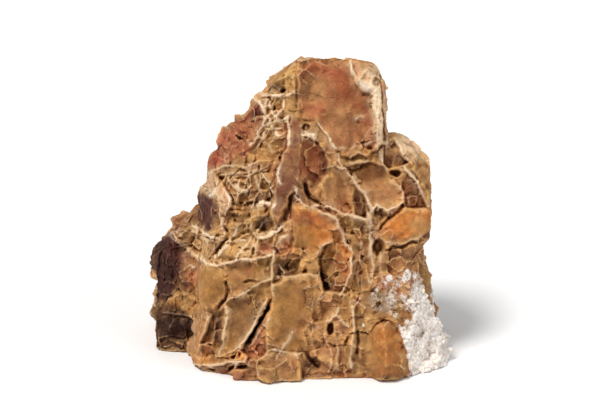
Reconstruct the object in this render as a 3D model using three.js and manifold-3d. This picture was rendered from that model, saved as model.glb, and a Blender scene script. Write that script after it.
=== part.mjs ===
// A maple leaf rock: one loose piece of banded limestone, weathered so that its hard seams
// stand out as thin ridges around flat plates.
//
// Millimetres. +X is the stone's right as it is usually shown, -Y is its front, and +Z is up.
// The origin is under the middle of the stone, on the surface that it rests on.
//
// The stone is built in three steps:
//   1. five blocks (tower, wing, shoulder, heel, flank), each split off along flat cleavage faces,
//      are joined;
//   2. plates that stand a little proud are joined on, tilted as they lie on the stone;
//   3. open slits are cut in, and the underside is cut flat where it rests.

import * as THREE from 'three';
import { mergeVertices } from 'three/addons/utils/BufferGeometryUtils.js';
import Module from 'manifold-3d';

const wasm = await Module();
wasm.setup();

// ---------------------------------------------------------------- driving dimensions

const WIDTH = 172;        // across the blocks
const DEPTH = 112;        // front to back of the blocks, at the foot
const HEIGHT = 182;       // foot to crown
const ROUGH = 420;        // side of the rough block that every face is split from
const FRONT_LEAN = 13;    // degrees that the front leans back
const FRONT_TURN = 3;     // degrees that the front is turned to the right
const PLATE_ROOT = 9;     // how deep a plate is rooted in the stone
const PLATE_PROUD = 3;    // the most that a plate stands out past the blocks
const PLATE_FLARE = 1.12; // how much wider a plate is at its root than at its face
const SLIT_DEPTH = 16;    // how far an open slit runs in

// The plates all round the sides and back: how many, the bearings and heights that they lie
// between, the turn from each to the next, their middling size, and how much they vary.
const SPREAD = {
  count: 30,
  from: 40,
  to: 330,
  lowest: 16,
  highest: 150,
  turn: 137.5,
  across: 26,
  along: 32,
  vary: 9,
  tilt: 8,
  proud: 2,
};

const LEFT = -WIDTH / 2;
const FORE = -DEPTH / 2;
const AFT = DEPTH / 2;

// ---------------------------------------------------------------- solids

// Bearing 0 looks out of the front, 90 out of the right side and 180 out of the back.
// Rise is how far the direction points above level.
function outward(bearing, rise) {
  const b = THREE.MathUtils.degToRad(bearing);
  const r = THREE.MathUtils.degToRad(rise);
  return new THREE.Vector3(Math.sin(b) * Math.cos(r), -Math.cos(b) * Math.cos(r), Math.sin(r));
}

function solidOf(geometry) {
  const bare = geometry.clone();
  bare.deleteAttribute('normal');
  bare.deleteAttribute('uv');
  const merged = mergeVertices(bare);
  const vertProperties = new Float32Array(merged.attributes.position.array);
  const triVerts = new Uint32Array(merged.index.array);
  return new wasm.Manifold(new wasm.Mesh({ numProp: 3, vertProperties, triVerts }));
}

function geometryOf(solid) {
  const mesh = solid.getMesh();
  const geometry = new THREE.BufferGeometry();
  geometry.setAttribute('position', new THREE.BufferAttribute(mesh.vertProperties, 3));
  geometry.setIndex(new THREE.BufferAttribute(mesh.triVerts, 1));
  return geometry;
}

// The waste that comes away when a face is split off: everything further out than the plane
// and the skin that is left on it.
function waste([bearing, rise, through], skin = 0) {
  const way = outward(bearing, rise);
  const turn = new THREE.Quaternion().setFromUnitVectors(new THREE.Vector3(0, 0, 1), way);
  const centre = new THREE.Vector3(...through).addScaledVector(way, ROUGH + skin);
  const box = new THREE.BoxGeometry(2 * ROUGH, 2 * ROUGH, 2 * ROUGH);
  return solidOf(box.applyQuaternion(turn).translate(centre.x, centre.y, centre.z));
}

function block(faces, skin = 0) {
  let solid = solidOf(new THREE.BoxGeometry(ROUGH, ROUGH, ROUGH));
  for (const face of faces) {
    solid = solid.subtract(waste(face, skin));
  }
  return solid;
}

// ---------------------------------------------------------------- 1. the five blocks

const FRONT = [FRONT_TURN, FRONT_LEAN, [0, FORE, 0]];

// Each face is [bearing, rise, a point that it passes through].
const TOWER = [
  FRONT,
  [330, 12, [-26, FORE + 3, 10]],     // left of the front
  [300, 16, [-53, -14, 116]],         // upper left
  [275, 0, [-53, -10, 120]],          // left cheek
  [252, 40, [-27, -22, 159]],         // slope up to the crown
  [50, 6, [50, -38, 40]],             // right of the front
  [92, 2, [47, 0, 140]],              // right cheek of the crown
  [172, 66, [12, -16, HEIGHT + 2]],   // crown, which falls away to the back
  [90, 48, [38, -16, 175]],           // its right corner
  [178, 11, [0, AFT - 4, 20]],        // back
  [132, 12, [42, 34, 80]],            // back right
  [228, 18, [-44, 36, 80]],           // back left
];

const WING = [
  [338, 9, [-45, FORE + 9, 10]],      // faces the front and a little left
  [283, 7, [-67, -15, 12]],           // left
  [264, 35, [-54, -16, 101]],         // slope up to the tower
  [20, 10, [0, FORE + 10, 30]],
  [90, 10, [30, 0, 50]],
  [310, 60, [-45, -10, 120]],
  [225, 18, [-66, 30, 40]],
  [190, 14, [-30, 44, 30]],
];

const SHOULDER = [
  FRONT,
  [38, 10, [66, -40, 40]],            // right of the front
  [90, 1, [74, 0, 90]],               // right
  [95, -46, [71, 0, 76]],             // undercut over the heel
  [92, 45, [69, 0, 122]],             // slope down from the crown's foot
  [95, 65, [58, 0, 131]],
  [20, 55, [58, -20, 129]],
  [190, 60, [50, 22, 121]],
  [130, 12, [66, 34, 50]],
  [175, 12, [50, AFT - 8, 30]],
  [270, 10, [-30, 0, 60]],
];

const HEEL = [
  FRONT,
  [38, 10, [66, -40, 40]],            // right of the front
  [88, 19, [82, 0, 6]],               // right, leaning in to the undercut
  [85, 62, [60, 0, 84]],
  [130, 12, [66, 34, 50]],
  [175, 12, [50, AFT - 8, 30]],
  [270, 10, [-30, 0, 60]],
];

const FLANK = [
  [345, 6, [-75, -13, 10]],           // set back behind the wing
  [300, 4, [LEFT - 2, -5, 40]],
  [268, 2, [LEFT - 2, 0, 35]],        // left
  [262, 38, [LEFT + 2, -4, 64]],       // slope up to the tower
  [225, 18, [-66, 42, 40]],
  [250, 55, [-58, 22, 87]],
  [330, 60, [-62, 5, 82]],
  [184, 12, [-40, AFT - 4, 30]],
  [90, 10, [20, 0, 50]],
];

function joinedBlocks(skin = 0) {
  return [TOWER, WING, SHOULDER, HEEL, FLANK]
    .map((faces) => block(faces, skin))
    .reduce((solid, next) => solid.add(next));
}

const blocks = joinedBlocks();

// ---------------------------------------------------------------- 2. the plates

// A plate is a flat prism with a few unequal sides. It is laid on the stone at a point, facing
// along its bearing and rise, turned in its own plane, and stands proud by a few millimetres.
function plate({ at, bearing, rise, across, along, turn, sides, proud }) {
  const thick = PLATE_ROOT + proud;
  const prism = new THREE.CylinderGeometry(1, PLATE_FLARE, thick, sides);
  prism.rotateX(Math.PI / 2);
  prism.scale(across / 2, along / 2, 1);
  prism.rotateZ(THREE.MathUtils.degToRad(turn));
  prism.translate(0, 0, proud - thick / 2);
  const way = outward(bearing, rise);
  const side = new THREE.Vector3(-way.y, way.x, 0).normalize();
  const up = new THREE.Vector3().crossVectors(way, side);
  prism.applyMatrix4(new THREE.Matrix4().makeBasis(side, up, way).setPosition(...at));
  return solidOf(prism);
}

// The front's plates: [x, z, across, along, turn, sides, proud, tilt right, tilt up].
const FRONT_PLATES = [
  [20, 160, 44, 44, 10, 5, 2.0, 4, -4],      // crown plate
  [45, 152, 12, 42, 4, 6, 2.5, 12, 0],       // pale seam at the crown's right edge
  [-4, 124, 14, 66, 12, 6, 4.5, -14, 0],     // raised band down the middle
  [14, 116, 34, 46, 0, 5, 1.5, 6, 8],        // long three-cornered plate
  [42, 110, 30, 30, 20, 6, 3.0, 8, 6],       // six-cornered plate
  [62, 102, 20, 40, 8, 5, 1.5, 14, 4],       // right-hand plate
  [58, 84, 28, 24, 30, 5, 2.5, 10, 12],      // plate under it
  [8, 82, 32, 34, 15, 5, 3.5, 0, 6],         // orange plate
  [30, 72, 18, 40, 5, 6, 1.0, 10, 0],        // narrow plate beside the funnel
  [-6, 32, 30, 56, 4, 6, 3.0, -4, 4],        // tall smooth plate
  [-34, 38, 24, 48, 24, 4, 2.0, -12, 0],     // slanted plate
  [-50, 24, 20, 36, 12, 5, 2.5, -16, 4],     // its outer neighbour
  [18, 28, 9, 46, 6, 4, 3.0, 10, 0],         // fin
  [29, 26, 8, 44, 0, 4, 2.5, -10, 0],        // fin
  [44, 22, 26, 36, 0, 6, 3.5, 6, 8],         // low dome
  [66, 30, 26, 60, 0, 6, 1.0, 16, 2],        // crusted corner
];

const leanBack = Math.tan(THREE.MathUtils.degToRad(FRONT_LEAN));

function frontPlates() {
  return FRONT_PLATES.map(([x, z, across, along, turn, sides, proud, right, up]) => plate({
    at: [x, FORE + z * leanBack, z],
    bearing: FRONT_TURN + right,
    rise: FRONT_LEAN + up,
    across, along, turn, sides, proud,
  }));
}

// Where a level line from the stone's upright axis comes out of the blocks.
function skinPoint(bearing, height) {
  const mesh = new THREE.Mesh(geometryOf(blocks), new THREE.MeshBasicMaterial());
  mesh.material.side = THREE.BackSide;
  const ray = new THREE.Raycaster(new THREE.Vector3(0, 0, height), outward(bearing, 0));
  const hits = ray.intersectObject(mesh);
  return hits.length > 0 ? hits[hits.length - 1] : null;
}

// Plates that climb round the stone by a steady turn, each laid on the face that it lands on.
// Sines of their number make no two alike.
function spreadPlates() {
  const plates = [];
  for (let i = 0; i < SPREAD.count; i += 1) {
    const share = (i + 0.5) / SPREAD.count;
    const bearing = SPREAD.from + (i * SPREAD.turn) % (SPREAD.to - SPREAD.from);
    const hit = skinPoint(bearing, THREE.MathUtils.lerp(SPREAD.lowest, SPREAD.highest, share));
    if (hit === null) {
      continue;
    }
    const facing = hit.face.normal;
    plates.push(plate({
      at: hit.point.toArray(),
      bearing: THREE.MathUtils.radToDeg(Math.atan2(facing.x, -facing.y)) + SPREAD.tilt * Math.sin(3 * i),
      rise: THREE.MathUtils.radToDeg(Math.asin(facing.z)) + SPREAD.tilt * Math.cos(5 * i),
      across: SPREAD.across + SPREAD.vary * Math.sin(2 * i),
      along: SPREAD.along + SPREAD.vary * Math.cos(3 * i),
      turn: i * SPREAD.turn,
      sides: 4 + (i % 3),
      proud: SPREAD.proud + 0.5 * Math.sin(i),
    }));
  }
  return plates;
}

// ---------------------------------------------------------------- 3. slits and the flat foot

// Open slits in the front: [x1, z1, x2, z2, width].
const SLITS = [
  [-20, 42, -35, 17, 3],
  [1, 107, 9, 100, 4],
  [15, 34, 13, 25, 5],
  [41, 78, 43, 72, 5],
];

function slit([x1, z1, x2, z2, width]) {
  const length = Math.hypot(x2 - x1, z2 - z1);
  const cut = new THREE.BoxGeometry(length, 2 * SLIT_DEPTH, width);
  cut.rotateY(-Math.atan2(z2 - z1, x2 - x1));
  const z = (z1 + z2) / 2;
  return solidOf(cut.translate((x1 + x2) / 2, FORE + z * leanBack, z));
}

// Plates end where the stone's own faces end, so they are trimmed to the blocks' outer skin.
function stone() {
  const skin = joinedBlocks(PLATE_PROUD);
  let solid = blocks;
  for (const one of [...frontPlates(), ...spreadPlates()]) {
    solid = solid.add(one.intersect(skin));
  }
  for (const one of SLITS) {
    solid = solid.subtract(slit(one));
  }
  solid = solid.subtract(waste([0, -90, [0, 0, 0]]));
  const geometry = geometryOf(solid);
  geometry.computeBoundingBox();
  const middle = geometry.boundingBox.getCenter(new THREE.Vector3());
  return geometry.translate(-middle.x, -middle.y, 0);
}

// ---------------------------------------------------------------- the stone

const limestone = new THREE.MeshStandardMaterial({ color: '#a37550', roughness: 0.85, metalness: 0 });
limestone.flatShading = true;

const rock = new THREE.Mesh(stone(), limestone);
rock.name = 'rock';
rock.geometry.computeVertexNormals();

const model = new THREE.Group();
model.add(rock);

export default model;
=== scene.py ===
# %% [markdown]
# A maple leaf rock: one loose piece of limestone whose soft layers have weathered back, so that
# hard seams stand out as thin pale ridges round flat plates. This lesson follows the order that
# nature did: a block is split, its plates step in and out, its seams stand up, its cracks and
# hollows open, a crust grows over one corner, and rust, dust and light come last.

# %% Load the frame
import math

import bpy
import numpy as np
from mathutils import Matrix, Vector


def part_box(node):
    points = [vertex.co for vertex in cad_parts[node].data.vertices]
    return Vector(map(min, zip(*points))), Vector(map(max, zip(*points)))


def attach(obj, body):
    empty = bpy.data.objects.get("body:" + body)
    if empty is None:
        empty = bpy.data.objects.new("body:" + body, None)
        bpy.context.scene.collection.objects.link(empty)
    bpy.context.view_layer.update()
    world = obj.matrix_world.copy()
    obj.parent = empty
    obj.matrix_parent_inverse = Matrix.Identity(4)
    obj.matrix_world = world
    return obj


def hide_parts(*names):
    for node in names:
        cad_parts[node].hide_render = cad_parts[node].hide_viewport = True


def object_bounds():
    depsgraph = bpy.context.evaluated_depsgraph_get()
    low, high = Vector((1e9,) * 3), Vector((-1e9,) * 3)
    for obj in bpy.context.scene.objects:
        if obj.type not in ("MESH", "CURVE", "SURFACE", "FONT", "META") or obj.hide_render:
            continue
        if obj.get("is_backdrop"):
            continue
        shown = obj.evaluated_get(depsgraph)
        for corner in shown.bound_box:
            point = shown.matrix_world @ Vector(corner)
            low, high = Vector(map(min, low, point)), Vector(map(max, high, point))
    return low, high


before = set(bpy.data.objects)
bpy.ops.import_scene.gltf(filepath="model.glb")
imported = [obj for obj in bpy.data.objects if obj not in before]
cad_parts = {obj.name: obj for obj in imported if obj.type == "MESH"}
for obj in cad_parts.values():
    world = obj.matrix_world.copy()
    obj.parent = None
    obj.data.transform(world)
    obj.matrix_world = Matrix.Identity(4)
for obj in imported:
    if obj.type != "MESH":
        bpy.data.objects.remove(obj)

MM = 0.001
low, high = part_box("rock")
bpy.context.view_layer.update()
print("the frame's rock measures", [round(side / MM, 1) for side in high - low], "mm")

# %% [markdown]
# Directions on a loose stone are easiest to give as a bearing, 0 out of the front, 90 out of the
# right side and 180 out of the back, and a rise above level. The numbers below are millimetres.

# %% Directions and the stone's own sizes
WIDTH = 172
DEPTH = 112
HEIGHT = 182
LEFT = -WIDTH / 2
FORE, AFT = -DEPTH / 2, DEPTH / 2


def outward(bearing, rise):
    b, r = math.radians(bearing), math.radians(rise)
    return Vector((math.sin(b) * math.cos(r), -math.cos(b) * math.cos(r), math.sin(r)))


# %% [markdown]
# A cleaved block is a cube with faces split off it. Bisect does in edit mode what a chisel does:
# it cuts along a plane, throws the outer side away and fills the cut. Five such blocks, each with
# its own faces, give the stone's stepped outline. A row is where a face looks, how far that rises
# above level, and a point that the face passes through.

# %% Split the five blocks
FRONT = (3, 13, (0, FORE, 0))
FOOT = (0, -90, (0, 0, 0))
BLOCKS = {
    "tower": [
        FRONT, (330, 12, (-26, FORE + 3, 10)), (300, 16, (-53, -14, 116)),
        (252, 40, (-27, -22, 159)), (275, 0, (-53, -10, 120)), (50, 6, (50, -38, 40)),
        (92, 2, (47, 0, 140)), (172, 66, (12, -16, HEIGHT + 2)), (90, 48, (38, -16, 175)),
        (178, 11, (0, AFT - 4, 20)), (132, 12, (42, 34, 80)), (228, 18, (-44, 36, 80)),
    ],
    "wing": [
        (338, 9, (-45, FORE + 9, 10)), (283, 7, (-67, -15, 12)), (264, 35, (-54, -16, 101)),
        (20, 10, (0, FORE + 10, 30)), (90, 10, (30, 0, 50)), (310, 60, (-45, -10, 120)),
        (225, 18, (-66, 30, 40)), (190, 14, (-30, 44, 30)),
    ],
    "shoulder": [
        FRONT, (38, 10, (66, -40, 40)), (90, 1, (74, 0, 90)), (95, -46, (71, 0, 76)),
        (92, 45, (69, 0, 122)), (95, 65, (58, 0, 131)), (20, 55, (58, -20, 129)),
        (190, 60, (50, 22, 121)), (130, 12, (66, 34, 50)), (175, 12, (50, AFT - 8, 30)),
        (270, 10, (-30, 0, 60)),
    ],
    "heel": [
        FRONT, (38, 10, (66, -40, 40)), (88, 19, (82, 0, 6)), (85, 62, (60, 0, 84)),
        (130, 12, (66, 34, 50)), (175, 12, (50, AFT - 8, 30)), (270, 10, (-30, 0, 60)),
    ],
    "flank": [
        (345, 6, (-75, -13, 10)), (300, 4, (LEFT - 2, -5, 40)), (268, 2, (LEFT - 2, 0, 35)),
        (262, 38, (LEFT + 2, -4, 64)), (225, 18, (-66, 42, 40)), (250, 55, (-58, 22, 87)),
        (330, 60, (-62, 5, 82)), (184, 12, (-40, AFT - 4, 30)), (90, 10, (20, 0, 50)),
    ],
}


def split_block(name, faces):
    bpy.ops.object.select_all(action="DESELECT")
    bpy.ops.mesh.primitive_cube_add(size=3 * HEIGHT * MM)
    block = bpy.context.object
    block.name = name
    bpy.ops.object.mode_set(mode="EDIT")
    for bearing, rise, through in [*faces, FOOT]:
        bpy.ops.mesh.select_all(action="SELECT")
        bpy.ops.mesh.bisect(
            plane_co=Vector(through) * MM, plane_no=outward(bearing, rise),
            use_fill=True, clear_outer=True)
    bpy.ops.object.mode_set(mode="OBJECT")
    print(name, "has", len(block.data.polygons), "faces")
    return block


blocks = [split_block(name, faces) for name, faces in BLOCKS.items()]

# %% [markdown]
# Joined blocks still pass through each other. A voxel remesh melts them into one skin of small
# even squares, which is what the relief needs: somewhere for every ridge to go.

# %% Melt the blocks into one skin
VOXEL = 0.6
bpy.ops.object.select_all(action="DESELECT")
for block in blocks:
    block.select_set(True)
bpy.context.view_layer.objects.active = blocks[0]
bpy.ops.object.join()
rock = bpy.context.object
rock.name = "rock_surface"


def apply_modifier(piece, kind, **settings):
    modifier = piece.modifiers.new(kind.lower(), kind)
    for key, value in settings.items():
        setattr(modifier, key, value)
    bpy.ops.object.modifier_apply(modifier=modifier.name)


apply_modifier(rock, "REMESH", mode="VOXEL", voxel_size=VOXEL * MM)
point_count = len(rock.data.vertices)
print("the skin has", point_count, "points")

# %% [markdown]
# The relief is worked out with arrays, one row for each point of the skin. Smoothing passes
# values between neighbours. It rounds the block's edges a little, and it gives each point a calm
# outward direction, so that ridges on an edge don't splay.

# %% Points, neighbours and smoothing
def read_points(mesh, attribute="co"):
    flat = np.empty(len(mesh.vertices) * 3, np.float32)
    mesh.vertices.foreach_get(attribute, flat)
    return flat.reshape(-1, 3)


edge_ends = np.empty(len(rock.data.edges) * 2, np.int32)
rock.data.edges.foreach_get("vertices", edge_ends)
edge_ends = edge_ends.reshape(-1, 2)
neighbours = np.bincount(edge_ends.ravel(), minlength=point_count).astype(np.float32)


def smoothed(values, passes):
    values = np.array(values, np.float32)
    columns = values.reshape(point_count, -1)
    for _ in range(passes):
        for c in range(columns.shape[1]):
            column = columns[:, c]
            total = np.bincount(edge_ends[:, 0], column[edge_ends[:, 1]], point_count)
            total += np.bincount(edge_ends[:, 1], column[edge_ends[:, 0]], point_count)
            columns[:, c] = 0.5 * column + 0.5 * total / neighbours
    return columns.reshape(values.shape)


def ramp(value, start, end):
    """0 at start, 1 at end, with a soft change between."""
    t = np.clip((value - start) / (end - start), 0, 1)
    return t * t * (3 - 2 * t)


def unit(vectors):
    return vectors / np.maximum(np.linalg.norm(vectors, axis=1, keepdims=True), 1e-9)


ROUNDED, CALMED, COMPARED = 14, 24, 40      # passes for edges, directions and flatness
points = smoothed(read_points(rock.data) / MM, ROUNDED)
outwards = smoothed(read_points(rock.data, "normal"), CALMED)
flatness = ramp(np.linalg.norm(smoothed(outwards, COMPARED), axis=1), 0.8, 0.98)
outwards = unit(outwards)
print("smoothed", point_count, "points")

# %% [markdown]
# Two kinds of pattern make a natural stone. Noise wanders, and bends whatever it is added to.
# Cells are the pieces that a cracked solid falls into: each point belongs to its nearest centre,
# and the second nearest says how far off the border is. Both are seeded, so the stone is the
# same each time.

# %% Chance and noise
LOW_BITS = np.uint64(0xFFFFFFFF)
SCATTER = np.uint64(0x9E3779B1)     # throws near numbers far apart
DRAWS = 0xFFFFF


def scramble(*keys):
    mixed = np.zeros_like(keys[0], dtype=np.uint64)
    for key in keys:
        mixed ^= key.astype(np.int64).astype(np.uint64) & LOW_BITS
        mixed = (mixed * SCATTER) & LOW_BITS
        mixed ^= mixed >> np.uint64(15)
    return mixed


def chance(ids, draw):
    """A number from 0 to 1 that is the same whenever the id and the draw are."""
    return (scramble(ids, np.full_like(ids, draw)) & np.uint64(DRAWS)) / float(DRAWS)


def noise(where, size, seed):
    """Smooth noise from -1 to 1, with lumps of about the given size."""
    q = where / size
    base = np.floor(q).astype(np.int64)
    f = q - base
    f = f * f * (3 - 2 * f)
    total = np.zeros(len(q))
    for corner in np.ndindex(2, 2, 2):
        cell = base + np.array(corner)
        weight = np.prod(np.where(np.array(corner) == 1, f, 1 - f), axis=1)
        total += weight * chance(scramble(cell[:, 0], cell[:, 1], cell[:, 2]), seed)
    return 2 * total - 1


def layered(where, size, seed, layers=3):
    total = sum(noise(where, size / 2**i, seed + i) / 2**i for i in range(layers))
    return total / (2 - 2.0 ** (1 - layers))


def drift(where, size, seed, columns=3, kind=noise):
    """A different noise in each column, to bend places with."""
    return np.stack([kind(where, size, seed + k) for k in range(columns)], 1)


def upright(where, share):
    """Squeezed places, on which a pattern stands taller than it is wide."""
    return where * np.array([1.0, 1.0, share])


print("noise spans", np.round(np.percentile(noise(points, 12, 5), [1, 50, 99]), 2))

# %% Cells
MARGIN = 0.12       # how far a centre stays inside its box
LEVEL = 0.04        # keeps a border that runs level with the skin from growing without end


def cells(where, size, seed):
    """For each point: its cell, the next cell, both centres, and how far off their border is."""
    q = where / size
    base = np.floor(q).astype(np.int64)
    n = len(q)
    near, far = np.full(n, 9.0), np.full(n, 9.0)
    near_id, far_id = np.zeros(n, np.uint64), np.zeros(n, np.uint64)
    near_at, far_at = np.zeros((n, 3)), np.zeros((n, 3))
    for step in np.ndindex(3, 3, 3):
        cell = base + np.array(step) - 1
        ids = scramble(cell[:, 0], cell[:, 1], cell[:, 2], np.full(n, seed))
        centre = cell + MARGIN + (1 - 2 * MARGIN) * np.stack([chance(ids, k) for k in (1, 2, 3)], 1)
        away = np.linalg.norm(q - centre, axis=1)
        first = away < near
        second = ~first & (away < far)
        for new, old in ((far, near), (far_id, near_id), (far_at, near_at)):
            new[first] = old[first]
        near[first], near_id[first], near_at[first] = away[first], ids[first], centre[first]
        far[second], far_id[second], far_at[second] = away[second], ids[second], centre[second]
    gap = np.linalg.norm(far_at - near_at, axis=1)
    border = (far**2 - near**2) * size / (2 * gap)
    lean = np.sum((far_at - near_at) * outwards, axis=1) / gap
    border /= np.sqrt(np.maximum(1 - lean**2, LEVEL))         # as measured along the skin
    return {"id": near_id, "pair": near_id ^ far_id, "next": far_id, "at": near_at * size,
            "next_at": far_at * size, "border": border, "inside": near * size}


# %% [markdown]
# The front is laid out as on a drawing board that stands square to the line of sight, 18 degrees
# above level. A place on the board is (across, up) in millimetres. Every point of the skin that
# faces the board can be looked up on it, whatever its depth. Lines drawn on it get a natural
# tremor, because the places are shaken a little by noise.

# %% The drawing board
SIGHT = 18
TREMORS = ((7, 11, 0.9), (3.0, 13, 0.5), (1.4, 15, 0.2))     # size, seed and how far they shake
LEVELLED, LEVELLING = 0.8, 130      # how far the block edges are levelled, and over how many passes
sight = np.array(outward(0, SIGHT))
up_board = np.array(outward(180, 90 - SIGHT))
facing = ramp(outwards @ sight, 0.12, 0.36)
seen = ramp(outwards @ sight, -0.05, 0.1)       # colours reach a little round the outline
on_front = seen > 0
depth = points @ sight
points += np.outer(LEVELLED * facing * (smoothed(depth, LEVELLING) - depth), sight)
board = np.stack([points[:, 0], (points - [0, FORE, 0]) @ up_board], 1)
board += sum(drift(points, size, seed, 2) * shake for size, seed, shake in TREMORS)
print("the board sees", int(on_front.sum()), "points")

# %% [markdown]
# Broad patches of rust, tan, ochre and maroon follow the mineral. Noise chooses among them first,
# and the plates of the front are given their own further down. Each colour has another that it
# wanders off to in patches.

# %% Colours of the stone
COLOURS = {
    "tan": (172, 120, 78, "straw"), "ochre": (166, 118, 60, "tan"),
    "straw": (206, 162, 104, "ochre"), "orange": (204, 126, 54, "ochre"),
    "amber": (174, 112, 50, "brown"), "rust": (158, 86, 52, "tan"),
    "red": (170, 80, 60, "maroon"), "brown": (122, 78, 46, "tan"),
    "maroon": (84, 38, 31, "umber"), "umber": (64, 34, 28, "maroon"),
    "keel": (124, 74, 52, "rust"), "olive": (152, 112, 64, "tan"),
    "cream": (236, 210, 176, "pink"), "pink": (206, 158, 130, "straw"),
    "white": (250, 243, 238, "cream"), "grey": (170, 148, 124, "white"),
}


def linear(name):
    c = np.array(COLOURS[name][:3]) / 255
    return np.where(c <= 0.04045, c / 12.92, ((c + 0.055) / 1.055) ** 2.4)


stain = np.tile(linear("tan"), (point_count, 1))


def lay_colour(name, mask, where=slice(None)):
    m = np.clip(mask, 0, 1)[:, None]
    stain[where] = stain[where] * (1 - m) + linear(name) * m


def lay_patches(*rows):
    """Patches: a colour, the noise's size and seed, where it starts and is full, and a strength."""
    for name, size, seed, start, full, strength in rows:
        lay_colour(name, ramp(layered(points, size, seed), start, full) * strength)


broad = layered(points, 48, 91)
middling = layered(points, 20, 94)
lay_colour("ochre", ramp(middling, -0.05, 0.35))
lay_colour("rust", ramp(broad, 0.15, 0.4) * 0.8)
lay_colour("brown", ramp(broad - 0.4 * middling, 0.3, 0.55) * 0.8)
lay_patches(("maroon", 40, 97, 0.36, 0.55, 0.75), ("straw", 30, 99, 0.25, 0.5, 0.75),
            ("orange", 36, 101, 0.34, 0.5, 0.5))
print("the stone's mean colour is", np.round(stain.mean(0), 2))

# %% [markdown]
# The front is built as the stone is, of thin plates that overlap like shingles. Each row is one
# plate, from the deepest to the topmost: its colour, how far it stands out, how its face rises
# towards the right and towards the top in millimetres per centimetre, how much its middle swells
# (a minus sign dishes it), and its corners on the board. A third number on a corner says how pale
# the edge is that starts there: a hard seam seen edge on.

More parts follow.
